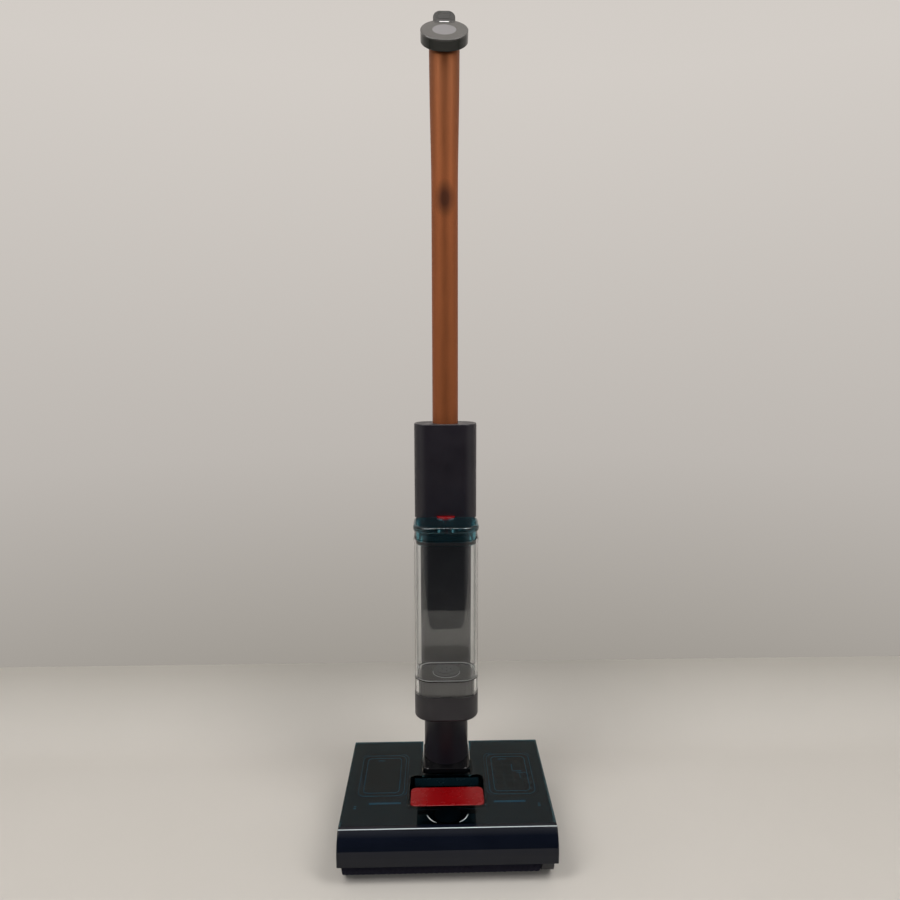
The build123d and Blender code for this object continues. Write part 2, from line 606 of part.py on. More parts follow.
SPINE_SEAM = (BODY_FRONT + SPINE_REAR) / 2
spine_outer = column_section(SPINE_WIDTH, BODY_FRONT, SPINE_REAR, 8, 18)
spine_inner = column_section(SPINE_WIDTH - 5, BODY_FRONT + 2.5, SPINE_REAR - 2.5, 5.5, 15.5)
for keep, node in ((Keep.BOTTOM, "spine_front"), (Keep.TOP, "spine_rear")):
    with BuildPart() as spine_half:
        half_shell(spine_outer, spine_inner, (COLLAR_TOP, HOUSING_BOTTOM), SPINE_SEAM, keep)
    finish(spine_half, node)

housing_outer = column_section(BODY_WIDTH, BODY_FRONT, HOUSING_REAR, 20, 25)
housing_inner = column_section(BODY_WIDTH - 5, BODY_FRONT + 2.5, HOUSING_REAR - 2.5, 17.5, 22.5)
for keep, node in ((Keep.BOTTOM, "housing_front"), (Keep.TOP, "housing_rear")):
    with BuildPart() as housing_half:
        prism(housing_outer, HOUSING_BOTTOM, HOUSING_TOP)
        fillet(housing_half.faces().sort_by(Axis.Z)[-1].edges(), 1.5)
        prism(housing_inner, HOUSING_BOTTOM + SHELL_WALL, HOUSING_TOP - SHELL_WALL, mode=Mode.SUBTRACT)
        rod_z(TUBE_RADIUS + 0.1, 0, TUBE_Y, (HOUSING_TOP - 5, HOUSING_TOP + 5), mode=Mode.SUBTRACT)
        prism(column_section(77, 74, 100, 5, 5), HOUSING_BOTTOM - 1, HOUSING_BOTTOM + 3, mode=Mode.SUBTRACT)
        seam = Plane(origin=(0, TUBE_Y, 0), x_dir=(1, 0, 0), z_dir=(0, 1, 0))
        split(bisect_by=seam, keep=keep)
    finish(housing_half, node)

CELL_RADIUS = 9.2
CELL_PITCH = 19.4
CELL_BOTTOM = 457.0
CELL_HEIGHT = 65.0
with BuildPart() as battery_cells:
    with Locations((0, TUBE_Y, CELL_BOTTOM + CELL_HEIGHT / 2)):
        with GridLocations(CELL_PITCH, CELL_PITCH, 3, 2):
            Cylinder(CELL_RADIUS, CELL_HEIGHT)
finish(battery_cells, "battery_cells")

with BuildPart() as battery_carrier:
    depth = (TUBE_Y - 20.5, TUBE_Y + 20.5)
    block((-32, 32), depth, (CELL_BOTTOM - 4, CELL_BOTTOM))
    block((-32, 32), depth, (CELL_BOTTOM + CELL_HEIGHT, CELL_BOTTOM + CELL_HEIGHT + 4))
    for side in (-1, 1):
        block((side * 30, side * 32), depth, (CELL_BOTTOM - 1, CELL_BOTTOM + CELL_HEIGHT + 1))
finish(battery_carrier, "battery_carrier")

BOARD_Z = 533.0
with BuildPart() as control_board:
    block((-36, 36), (TUBE_Y - 18, TUBE_Y + 18), (BOARD_Z, BOARD_Z + 1.6))
    for x, y, size, height in ((-24, -6, 10, 4), (-6, 8, 12, 3), (14, -8, 14, 5), (26, 8, 8, 7)):
        block((x - size / 2, x + size / 2), (TUBE_Y + y - size / 2, TUBE_Y + y + size / 2),
              (BOARD_Z + 1.6, BOARD_Z + 1.6 + height))
finish(control_board, "control_board")

with BuildPart() as tube_sleeve:
    rod_z(22.8, 0, TUBE_Y, (TUBE_FOOT - 4, HOUSING_TOP - SHELL_WALL))
    rod_z(TUBE_RADIUS, 0, TUBE_Y, (TUBE_FOOT, HOUSING_TOP), mode=Mode.SUBTRACT)
    rod_z(14, 0, TUBE_Y, (TUBE_FOOT - 5, HOUSING_TOP), mode=Mode.SUBTRACT)
finish(tube_sleeve, "tube_sleeve")

with BuildPart() as wiring_loom:
    hose([(36, 92.5, 531), (36, 92.5, 449), (27, 89, 430), (27, 89, 210), (23, 84, 168), (19, 76, 141)], 12,
         2.0, 0)
finish(wiring_loom, "wiring_loom")

# ------------------------------------------------------------------ handle tube and control head
disc_lean = radians(DISC_TILT)
HEAD_NORMAL = (0, -sin(disc_lean), cos(disc_lean))
HEAD_PLANE = Plane(origin=(0, TUBE_Y, DISC_SEAT_Z), x_dir=(1, 0, 0), z_dir=HEAD_NORMAL)
GRIP_FLARE = 2.35  # how much wider the tube is at the control head


def tube_solid(inset):
    """The tube's outside, or its bore when inset is the wall thickness."""
    radius = TUBE_RADIUS - inset
    wide = radius + GRIP_FLARE
    with BuildPart(mode=Mode.PRIVATE) as solid:
        with BuildSketch(Plane.XZ.offset(-TUBE_Y)):
            with BuildLine():
                start = Line((0, TUBE_FOOT), (radius, TUBE_FOOT))
                straight = Line(start @ 1, (radius, GRIP_START))
                flare = Spline(straight @ 1, (radius + GRIP_FLARE * 0.62, 1015), (wide, 1094),
                               (wide + 0.2, 1150), tangents=[(0, 1), (0, 1)])
                top = Line(flare @ 1, (0, 1150))
                Line(top @ 1, start @ 0)
            make_face()
        revolve(axis=Axis((0, TUBE_Y, 0), (0, 0, 1)))
    return solid.part


with BuildPart() as handle_tube:
    add(tube_solid(0))
    add(tube_solid(TUBE_WALL), mode=Mode.SUBTRACT)
    split(bisect_by=HEAD_PLANE, keep=Keep.BOTTOM)
finish(handle_tube, "handle_tube")

FASCIA = 2.0
SHELL_TOP = DISC_HEIGHT - FASCIA
DISPLAY_RADIUS = 16.3
TAB_WIDTH = 31.0
TAB_REACH = 14.9
TAB_THICK = 5.0
TAB_START = 29.0  # distance of the tab's bend from the disc's centre
TAB_TILT = 75.0
tab_lean = radians(TAB_TILT)
TAB_PLANE = Plane(origin=HEAD_PLANE.from_local_coords((0, TAB_START, DISC_HEIGHT)), x_dir=(1, 0, 0),
                  z_dir=(0, -sin(tab_lean), cos(tab_lean)))
LIGHT_CENTRE = 26.0
LIGHT_SIZE = (13.6, 2.8)
BUTTON_CENTRE = 7.2  # along the tab from its bend
BUTTON_SIZE = (18.0, 8.0)
BUTTON_GAP = 0.35
BUTTON_DEPTH = 3.4
BUTTON_TRAVEL = 0.8

HEAD_AXIS = Axis(HEAD_PLANE.origin, HEAD_PLANE.z_dir)


def head_disc(radius, low, high, mode=Mode.ADD):
    """A disc on the control head's axis between two heights above its underside."""
    with BuildSketch(HEAD_PLANE.offset(low)) as disc:
        Circle(radius)
    extrude(disc.sketch, amount=high - low, mode=mode)


with BuildPart() as control_shell:
    head_disc(DISC_RADIUS, 0, SHELL_TOP)
    fillet(control_shell.faces().sort_by(HEAD_AXIS)[0].edges(), 1.2)
    head_disc(DISC_RADIUS - 2.5, 2.5, SHELL_TOP + 1, mode=Mode.SUBTRACT)
    head_disc(12, -1, 4, mode=Mode.SUBTRACT)
finish(control_shell, "control_shell")

with BuildPart() as control_fascia:
    # tab behind the disc, bent upward, with its root under the disc's rear edge
    with BuildSketch(TAB_PLANE):
        with Locations((0, (TAB_REACH - 3) / 2)):
            Rectangle(TAB_WIDTH, TAB_REACH + 3)
        fillet(vertices().group_by(Axis.Y)[-1], 10)
    extrude(amount=-TAB_THICK)
    head_disc(DISC_RADIUS + 20, SHELL_TOP - 20, SHELL_TOP, mode=Mode.SUBTRACT)
    head_disc(DISC_RADIUS, SHELL_TOP, DISC_HEIGHT)
    outer_rim = control_fascia.edges().filter_by(GeomType.CIRCLE).filter_by(lambda edge: edge.radius > 30)
    fillet(outer_rim.sort_by(HEAD_AXIS)[-1], 0.7)
    head_disc(DISPLAY_RADIUS, SHELL_TOP - 1, DISC_HEIGHT + 1, mode=Mode.SUBTRACT)
    # window for the indicator light
    with BuildSketch(HEAD_PLANE.offset(SHELL_TOP - 1)):
        with Locations((0, LIGHT_CENTRE)):
            RectangleRounded(*LIGHT_SIZE, 0.8)
    extrude(amount=4, mode=Mode.SUBTRACT)
    # pocket for the power button
    with BuildSketch(TAB_PLANE.offset(-BUTTON_DEPTH)):
        with Locations((0, BUTTON_CENTRE)):
            RectangleRounded(BUTTON_SIZE[0] + 2 * BUTTON_GAP, BUTTON_SIZE[1] + 2 * BUTTON_GAP, 3)
    extrude(amount=BUTTON_DEPTH + 1, mode=Mode.SUBTRACT)
finish(control_fascia, "control_fascia")

with BuildPart() as power_button:
    with BuildSketch(TAB_PLANE.offset(-BUTTON_DEPTH + BUTTON_TRAVEL + 0.4)):
        with Locations((0, BUTTON_CENTRE)):
            RectangleRounded(*BUTTON_SIZE, 2.6)
    extrude(amount=BUTTON_DEPTH - BUTTON_TRAVEL - 0.4)
    fillet(power_button.faces().sort_by(Axis(TAB_PLANE.origin, TAB_PLANE.z_dir))[-1].edges(), 0.3)
finish(power_button, "power_button")

with BuildPart() as indicator_light:
    with BuildSketch(HEAD_PLANE.offset(SHELL_TOP - 0.8)):
        with Locations((0, LIGHT_CENTRE)):
            RectangleRounded(*LIGHT_SIZE, 0.8)
    extrude(amount=FASCIA + 0.8)
finish(indicator_light, "indicator_light")

with BuildPart() as display_lens:
    head_disc(DISPLAY_RADIUS, SHELL_TOP + 0.2, DISC_HEIGHT)
finish(display_lens, "display_lens")

with BuildPart() as display_board:
    head_disc(26, SHELL_TOP - 4.5, SHELL_TOP - 3)
    head_disc(14.5, SHELL_TOP - 3, SHELL_TOP - 0.4)
    for angle in (20, 90, 160, 200, 270, 340):
        with BuildSketch(HEAD_PLANE.offset(SHELL_TOP - 3)):
            with Locations((20 * cos(radians(angle)), 20 * sin(radians(angle)))):
                Rectangle(4, 4)
        extrude(amount=1.2)
finish(display_board, "display_board")

# ------------------------------------------------------------------ clear water tank
SKIRT_BOTTOM = 178.0
SKIRT_INSET = 2.5
BEAD_HEIGHT = 3.0


def tank_section(inset):
    """Plan section of the clear tank, moved inward by inset."""
    return column_section(TANK_WIDTH - 2 * inset, TANK_FRONT + inset, TANK_REAR - inset, 25 - inset,
                          max(8 - inset, 2))


with BuildPart() as clean_tank:
    prism(tank_section(0), TANK_STEP, TANK_RIM)
    prism(tank_section(-0.7), TANK_FLOOR - 1, TANK_FLOOR - 1 + BEAD_HEIGHT)
    prism(tank_section(-0.7), TANK_RIM - 2.2, TANK_RIM)
    block((-60, 60), (TANK_REAR, TANK_REAR + 5), (TANK_STEP, TANK_RIM + 1), mode=Mode.SUBTRACT)
    prism(tank_section(SKIRT_INSET), SKIRT_BOTTOM, TANK_STEP)
    prism(tank_section(TANK_WALL), TANK_FLOOR, TANK_RIM + 1, mode=Mode.SUBTRACT)
    prism(tank_section(SKIRT_INSET + 2.2), SKIRT_BOTTOM - 1, TANK_FLOOR - 3, mode=Mode.SUBTRACT)
    rod_z(11.0, 0, VALVE_Y, (TANK_FLOOR - 5, TANK_FLOOR + 1), mode=Mode.SUBTRACT)
finish(clean_tank, "clean_tank")

STEM_RADIUS = 3.0
POPPET_FLANGE_TOP = 203.5
POPPET_LIFT = 3.0
with BuildPart() as tank_valve:
    rod_z(19.5, 0, VALVE_Y, (TANK_FLOOR, TANK_FLOOR + 2))
    rod_z(14.0, 0, VALVE_Y, (TANK_FLOOR + 2, TANK_FLOOR + 3.5))
    rod_z(11.0, 0, VALVE_Y, (194.0, TANK_FLOOR))
    rod_z(9.0, 0, VALVE_Y, (196.0, TANK_FLOOR + 1), mode=Mode.SUBTRACT)
    rod_z(STEM_RADIUS + RUN_GAP, 0, VALVE_Y, (190, 200), mode=Mode.SUBTRACT)
    with Locations((0, VALVE_Y, TANK_FLOOR)):
        with PolarLocations(6.0, 4):
            Cylinder(1.6, 12, mode=Mode.SUBTRACT)
finish(tank_valve, "tank_valve")

with BuildPart() as valve_poppet:
    rod_z(STEM_RADIUS, 0, VALVE_Y, (188.5, 216))
    rod_z(7.0, 0, VALVE_Y, (POPPET_FLANGE_TOP - 3, POPPET_FLANGE_TOP))
finish(valve_poppet, "valve_poppet")

with BuildPart() as valve_spring:
    # shown at its pressed length, clear of the flange at the top of the poppet's lift
    coil_spring(5.0, 0.5, 17.0, 3.4, (0, VALVE_Y, POPPET_FLANGE_TOP + POPPET_LIFT + 2.0))
finish(valve_spring, "valve_spring")

# ------------------------------------------------------------------ tank lid
LID_REAR = TANK_REAR - 0.3
PLUG_BOTTOM = 421.8
LID_GAP = 0.1
KEY_RADIUS = 13.4
KEY_TOP = 451.5
KEY_BOTTOM = 444.5
KEY_Y = LID_REAR - 1.2
KEY_STEM_OFFSET = 9.0
POCKET_FLOOR = 442.5


def half_disc(radius, flat_y, bottom, top, mode=Mode.ADD):
    """A D-shaped prism whose flat side faces the rear."""
    with BuildSketch(Plane.XY.offset(bottom)) as outline:
        with Locations((0, flat_y)):
            Circle(radius)
        with Locations((0, flat_y + radius)):
            Rectangle(2 * radius + 2, 2 * radius, mode=Mode.SUBTRACT)
    extrude(outline.sketch, amount=top - bottom, mode=mode)


with BuildPart() as tank_lid:
    prism(column_section(93.0, TANK_FRONT - 1, LID_REAR, 26, 8), LID_PLATE, LID_TOP)
    fillet(tank_lid.faces().sort_by(Axis.Z)[-1].edges(), 3.5)
    fillet(tank_lid.faces().sort_by(Axis.Z)[0].edges(), 3.5)
    prism(column_section(87.5, TANK_FRONT + 2, LID_REAR - 1, 23.5, 6), TANK_RIM + LID_GAP, LID_PLATE + 1)
    prism(tank_section(TANK_WALL + 1.5), PLUG_BOTTOM, TANK_RIM + 1)
    # hollow from below
    prism(tank_section(TANK_WALL + 3.7), PLUG_BOTTOM - 1, LID_PLATE + 2.2, mode=Mode.SUBTRACT)
    half_disc(KEY_RADIUS + 0.4, KEY_Y + 0.4, POCKET_FLOOR, LID_TOP + 1, mode=Mode.SUBTRACT)
    half_disc(KEY_RADIUS + 2.0, KEY_Y + 1.0, LID_PLATE + 0.5, POCKET_FLOOR)
    rod_z(2.6, 0, KEY_Y - KEY_STEM_OFFSET, (LID_PLATE, POCKET_FLOOR + 1), mode=Mode.SUBTRACT)
finish(tank_lid, "tank_lid")

with BuildPart() as lid_seal:
    seal_bottom = PLUG_BOTTOM + 1.4
    prism(tank_section(TANK_WALL + 0.35), seal_bottom, seal_bottom + 4.5)
    prism(tank_section(TANK_WALL + 1.5), seal_bottom - 1, seal_bottom + 6, mode=Mode.SUBTRACT)
finish(lid_seal, "lid_seal")

with BuildPart() as release_key:
    half_disc(KEY_RADIUS, KEY_Y, KEY_BOTTOM, KEY_TOP)
    fillet(release_key.faces().sort_by(Axis.Z)[-1].edges(), 0.8)
    rod_z(2.3, 0, KEY_Y - KEY_STEM_OFFSET, (LID_PLATE - 4, KEY_BOTTOM))
finish(release_key, "release_key")

with BuildPart() as column_screws:
    for x, z in ((-16, 220), (16, 220), (-16, 425), (16, 425)):
        with Locations(Location((x, SPINE_REAR, z), (-90, 0, 0))):
            Cylinder(2.4, 0.8, align=(Align.CENTER, Align.CENTER, Align.MIN))
finish(column_screws, "column_screws")
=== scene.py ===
"""Looks for the upright floor washer: its materials, a few pieces too fine for the CAD, and the studio."""
import json
import math

import bmesh
import bpy
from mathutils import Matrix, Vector, noise


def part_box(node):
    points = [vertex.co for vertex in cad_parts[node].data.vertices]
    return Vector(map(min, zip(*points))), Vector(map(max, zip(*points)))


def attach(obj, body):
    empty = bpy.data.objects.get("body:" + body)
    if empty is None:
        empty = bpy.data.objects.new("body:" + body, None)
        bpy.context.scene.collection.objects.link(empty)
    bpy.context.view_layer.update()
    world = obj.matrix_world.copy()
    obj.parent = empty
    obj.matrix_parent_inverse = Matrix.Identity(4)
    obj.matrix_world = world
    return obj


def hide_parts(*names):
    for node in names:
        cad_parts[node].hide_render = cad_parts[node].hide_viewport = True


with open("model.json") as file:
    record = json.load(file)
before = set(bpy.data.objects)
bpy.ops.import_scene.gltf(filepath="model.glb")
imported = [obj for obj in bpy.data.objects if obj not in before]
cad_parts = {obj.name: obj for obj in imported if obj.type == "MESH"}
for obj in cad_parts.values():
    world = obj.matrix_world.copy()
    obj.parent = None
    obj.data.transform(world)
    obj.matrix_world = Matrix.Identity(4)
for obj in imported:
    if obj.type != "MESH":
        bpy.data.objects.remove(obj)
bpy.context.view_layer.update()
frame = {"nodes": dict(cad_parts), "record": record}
nodes = frame["nodes"]
MM = 0.001

# ------------------------------------------------------------------ camera
CAMERA_PLACE = (-0.0118, -0.9784, 0.6938)
CAMERA_PITCH = 7.905  # degrees below level
CAMERA_TURN = 1.709  # degrees to the right of straight ahead
CAMERA_SHIFT = -0.0098  # the machine stands a little left of the lens axis
LENS = 29.0


def make_camera():
    data = bpy.data.cameras.new("camera")
    data.lens = LENS
    data.sensor_width = 36.0
    data.shift_x = CAMERA_SHIFT
    camera = bpy.data.objects.new("camera", data)
    camera.location = CAMERA_PLACE
    camera.rotation_euler = (math.radians(90.0 - CAMERA_PITCH), 0.0, math.radians(-CAMERA_TURN))
    bpy.context.scene.collection.objects.link(camera)
    bpy.context.scene.camera = camera


make_camera()

# ------------------------------------------------------------------ material building


class Shade:
    """A material under construction, with its node tree and short ways to add nodes to it."""

    def __init__(self, name):
        self.material = bpy.data.materials.new(name)
        self.material.use_nodes = True
        self.tree = self.material.node_tree
        self.shader = self.tree.nodes["Principled BSDF"]
        self.place = self.add("ShaderNodeTexCoord").outputs["Object"]

    def add(self, kind, **settings):
        node = self.tree.nodes.new(kind)
        for key, value in settings.items():
            setattr(node, key, value)
        return node

    def join(self, source, target):
        self.tree.links.new(source, target)

    def stretch(self, scale):
        """Object coordinates in millimetres, scaled along each axis."""
        mapping = self.add("ShaderNodeMapping")
        mapping.inputs["Scale"].default_value = tuple(1000.0 * s for s in scale)
        self.join(self.place, mapping.inputs["Vector"])
        return mapping.outputs["Vector"]

    def noise(self, scale, detail=2.0, stretch=(1, 1, 1), roughness=0.5):
        """Noise with about `scale` features per millimetre."""
        texture = self.add("ShaderNodeTexNoise")
        texture.inputs["Scale"].default_value = scale
        texture.inputs["Detail"].default_value = detail
        texture.inputs["Roughness"].default_value = roughness
        self.join(self.stretch(stretch), texture.inputs["Vector"])
        return texture.outputs["Fac"]

    def span(self, value, low, high, from_low=0.3, from_high=0.7):
        """A noise value spread between two numbers."""
        node = self.add("ShaderNodeMapRange")
        node.inputs["From Min"].default_value = from_low
        node.inputs["From Max"].default_value = from_high
        node.inputs["To Min"].default_value = low
        node.inputs["To Max"].default_value = high
        self.join(value, node.inputs["Value"])
        return node.outputs["Result"]

    def height(self):
        """Height above the object's origin in millimetres."""
        split = self.add("ShaderNodeSeparateXYZ")
        self.join(self.stretch((1, 1, 1)), split.inputs[0])
        return split.outputs["Z"]

    def blend(self, factor, first, second):
        """A colour between two others."""
        node = self.add("ShaderNodeMix", data_type="RGBA")
        for socket, value in ((node.inputs[6], first), (node.inputs[7], second)):
            if isinstance(value, tuple):
                socket.default_value = (*value, 1.0)
            else:
                self.join(value, socket)
        self.join(factor, node.inputs[0])
        return node.outputs[2]

    def bump(self, height, depth_mm, strength=1.0):
        node = self.add("ShaderNodeBump")
        node.inputs["Strength"].default_value = strength
        node.inputs["Distance"].default_value = depth_mm * MM
        self.join(height, node.inputs["Height"])
        self.join(node.outputs["Normal"], self.shader.inputs["Normal"])

    def set(self, **values):
        for name, value in values.items():
            socket = self.shader.inputs[name.replace("_", " ")]
            if isinstance(value, bpy.types.NodeSocket):
                self.join(value, socket)
            elif isinstance(value, tuple):
                socket.default_value = (*value, 1.0)
            else:
                socket.default_value = value


def moulded(name, colour, roughness, grain=0.0, grain_scale=2.0, coat=0.0, variation=0.12, ior=1.5):
    """Moulded plastic: faint colour drift, uneven gloss and, where it is textured, a fine grain."""
    shade = Shade(name)
    drift = shade.span(shade.noise(0.02, 4.0), 0.0, 1.0)
    lighter = tuple(min(1.0, c * (1.0 + variation) + 0.001) for c in colour)
    darker = tuple(c * (1.0 - variation) for c in colour)
    shade.set(Base_Color=shade.blend(drift, darker, lighter))
    smudge = shade.noise(0.045, 6.0, roughness=0.62)
    shade.set(Roughness=shade.span(smudge, roughness * 0.82, min(1.0, roughness * 1.25)))
    shade.set(IOR=ior, Coat_Weight=coat, Coat_Roughness=0.08)
    if grain:
        shade.bump(shade.noise(grain_scale, 3.0), grain)
    return shade.material


def see_through(name, tint, roughness=0.015, ior=1.49, clearness=1.0):
    """Clear or tinted moulded plastic with faint flow lines in its surface."""
    shade = Shade(name)
    drift = shade.span(shade.noise(0.03, 3.0), 0.0, 1.0)
    shade.set(Base_Color=shade.blend(drift, tuple(c * 0.96 for c in tint), tint))
    smudge = shade.noise(0.05, 6.0, roughness=0.6)
    shade.set(Roughness=shade.span(smudge, roughness * 0.5, roughness * 2.2))
    shade.set(Transmission_Weight=clearness, IOR=ior)
    shade.bump(shade.noise(0.05, 1.0), 0.05, 0.35)
    return shade.material


# centre of the painted dark reflection on the tube's front
DARK_REFLECTION_CENTRE = (0.0, 73.0, 903.0)  # millimetres
PATCH_STRETCH = (0.6, 0.45, 0.36)


def copper_tube():
    """Anodised aluminium tube: satin, with fine grain drawn along its length, painted shade darkening it
    towards the top and one painted dark reflection in front.
    """
    shade = Shade("copper_anodised")
    drift = shade.span(shade.noise(0.02, 3.0, stretch=(1, 1, 0.35)), 0.0, 1.0)
    base = shade.blend(drift, (0.275, 0.082, 0.027), (0.32, 0.098, 0.033))
    flecks = shade.span(shade.noise(1.6, 4.0, stretch=(1, 1, 0.6)), 0.0, 1.0, 0.45, 0.75)
    satin = shade.blend(flecks, base, (0.355, 0.118, 0.041))
    # painted reflection: a soft dark spot on the tube's front, blended over the base colour
    patch = shade.add("ShaderNodeVectorMath", operation="DISTANCE")
    shade.join(shade.stretch(PATCH_STRETCH), patch.inputs[0])
    patch.inputs[1].default_value = tuple(p * s for p, s in zip(DARK_REFLECTION_CENTRE, PATCH_STRETCH))
    painted_reflection = shade.span(patch.outputs["Value"], 0.85, 0.0, 3.0, 10.0)
    # painted shade: the tube's colour darkens towards its top
    painted_shade_rise = shade.span(shade.height(), 0.0, 1.0, 930.0, 1070.0)
    top_shaded = shade.blend(painted_shade_rise, satin, (0.225, 0.075, 0.027))
    shade.set(Base_Color=shade.blend(painted_reflection, top_shaded, (0.05, 0.015, 0.008)))
    shade.set(Metallic=0.8)
    shade.set(Roughness=shade.span(shade.noise(0.3, 4.0, stretch=(1, 1, 0.1)), 0.48, 0.60))
    shade.bump(shade.noise(2.2, 2.0, stretch=(1, 1, 0.2)), 0.02, 0.5)
    return shade.material


def brushed_metal(name, colour, roughness):
    shade = Shade(name)
    streaks = shade.noise(1.5, 3.0, stretch=(0.1, 1, 1))
    shade.set(Base_Color=shade.blend(shade.span(streaks, 0, 1), tuple(c * 0.85 for c in colour), colour))
    shade.set(Metallic=1.0, Roughness=shade.span(streaks, roughness * 0.8, roughness * 1.3))
    shade.bump(streaks, 0.02, 0.4)
    return shade.material


def microfibre():
    """Dense short pile, dark blue-violet, with lighter fibre tips."""
    shade = Shade("microfibre_pile")
    tufts = shade.noise(0.9, 5.0, roughness=0.7)
    fibres = shade.span(tufts, 0.0, 1.0, 0.35, 0.68)
    shade.set(Base_Color=shade.blend(fibres, (0.0008, 0.0008, 0.0022), (0.0045, 0.0042, 0.013)))
    shade.set(Roughness=0.95, Specular_IOR_Level=0.2, Sheen_Weight=0.05, Sheen_Roughness=0.5,
              Sheen_Tint=(0.30, 0.30, 0.7))
    shade.bump(shade.noise(3.0, 4.0, roughness=0.7), 0.5, 0.9)
    return shade.material


def rubber():
    shade = Shade("rubber")
    dust = shade.span(shade.noise(0.08, 5.0), 0.0, 1.0)
    shade.set(Base_Color=shade.blend(dust, (0.014, 0.014, 0.016), (0.03, 0.03, 0.032)))
    shade.set(Roughness=shade.span(shade.noise(0.6, 4.0), 0.6, 0.85))
    shade.bump(shade.noise(3.0, 3.0), 0.05, 0.6)
    return shade.material


def cell_wrap():
    """Shrink wrap on the battery cells, with a plain band round each."""
    shade = Shade("cell_wrap")
    bands = shade.add("ShaderNodeTexWave", wave_type="BANDS", bands_direction="Z")
    bands.inputs["Scale"].default_value = 0.02
    shade.join(shade.stretch((1, 1, 1)), bands.inputs["Vector"])
    shade.set(Base_Color=shade.blend(shade.span(bands.outputs["Fac"], 0, 1, 0.8, 0.9), (0.03, 0.14, 0.3),
                                     (0.5, 0.5, 0.5)))
    shade.set(Roughness=shade.span(shade.noise(0.2, 3.0), 0.25, 0.4))
    return shade.material


def circuit_board():
    shade = Shade("circuit_board")
    tracks = shade.add("ShaderNodeTexBrick")
    tracks.inputs["Color1"].default_value = (0.01, 0.12, 0.05, 1)
    tracks.inputs["Color2"].default_value = (0.012, 0.15, 0.06, 1)
    tracks.inputs["Mortar"].default_value = (0.02, 0.24, 0.1, 1)
    tracks.inputs["Scale"].default_value = 0.35
    shade.join(shade.stretch((1, 1, 1)), tracks.inputs["Vector"])
    shade.set(Base_Color=tracks.outputs["Color"])
    shade.set(Roughness=shade.span(shade.noise(0.5, 3.0), 0.3, 0.5))
    return shade.material


AUBERGINE = (0.0118, 0.0096, 0.0143)

finishes = {
    "smoked_teal": see_through("smoked_teal_clear", (0.13, 0.30, 0.37), 0.02, 1.30),
    "hood_teal": moulded("hood_gloss_plastic", (0.0028, 0.0045, 0.010), 0.05, ior=1.38),
    "lid_teal": see_through("lid_teal_clear", (0.13, 0.45, 0.55), 0.03, clearness=0.985),
    "clear": see_through("clear_plastic", (0.97, 0.985, 0.99), 0.012),
    "tub_black": moulded("tub_plastic", (0.010, 0.013, 0.015), 0.35),
    "red": moulded("red_plastic", (0.215, 0.0005, 0.002), 0.25, variation=0.06, ior=1.4),
    "gloss_black": moulded("gloss_black_plastic", (0.004, 0.004, 0.005), 0.08),
    "column_plastic": moulded("aubergine_plastic", AUBERGINE, 0.34, grain=0.02),
    "collar_plastic": moulded("collar_plastic", (0.015, 0.013, 0.0165), 0.34, grain=0.02),
    "chassis_plastic": moulded("textured_black_plastic", (0.010, 0.011, 0.014), 0.5, grain=0.05),
    "copper": copper_tube(),
    "control_gloss": moulded("control_gloss_plastic", (0.005, 0.007, 0.0045), 0.10),
    "fascia_grey": moulded("fascia_plastic", (0.054, 0.051, 0.047), 0.22, coat=0.2),
    "display": moulded("display_glass", (0.16, 0.155, 0.165), 0.12, coat=0.6, variation=0.05),
    "mark_white": moulded("white_light_guide", (0.80, 0.80, 0.80), 0.4, variation=0.03),
    "pile": microfibre(),
    "rubber": rubber(),
    "hose": moulded("hose_rubber", (0.5, 0.51, 0.53), 0.45),
    "inner_plastic": moulded("inner_grey_plastic", (0.10, 0.10, 0.102), 0.5, grain=0.03),
    "bearing": moulded("acetal", (0.7, 0.7, 0.68), 0.35),
    "steel": brushed_metal("brushed_steel", (0.56, 0.56, 0.57), 0.3),
    "gold": brushed_metal("gold_contact", (0.8, 0.6, 0.25), 0.25),
    "cell_wrap": cell_wrap(),
    "board": circuit_board(),
}


def finish_cad_nodes():
    """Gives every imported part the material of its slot."""
    for entry in frame["record"]["subparts"]:
        part = nodes[entry["node"]]
        part.data.materials.clear()
        part.data.materials.append(finishes[entry["material_slot"]])


finish_cad_nodes()

# ------------------------------------------------------------------ pieces made here


def add_piece(name, mesh, material, body, smooth=True):
    piece = bpy.data.objects.new(name, mesh)
    bpy.context.scene.collection.objects.link(piece)
    mesh.materials.append(material)
    for face in mesh.polygons:
        face.use_smooth = smooth
    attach(piece, body)
    return piece


PILE_AROUND = 220  # points round the roller
PILE_ALONG = 380  # rings along it
PILE_THICK = 5.0 * MM
PILE_END_ROUND = 2.0 * MM


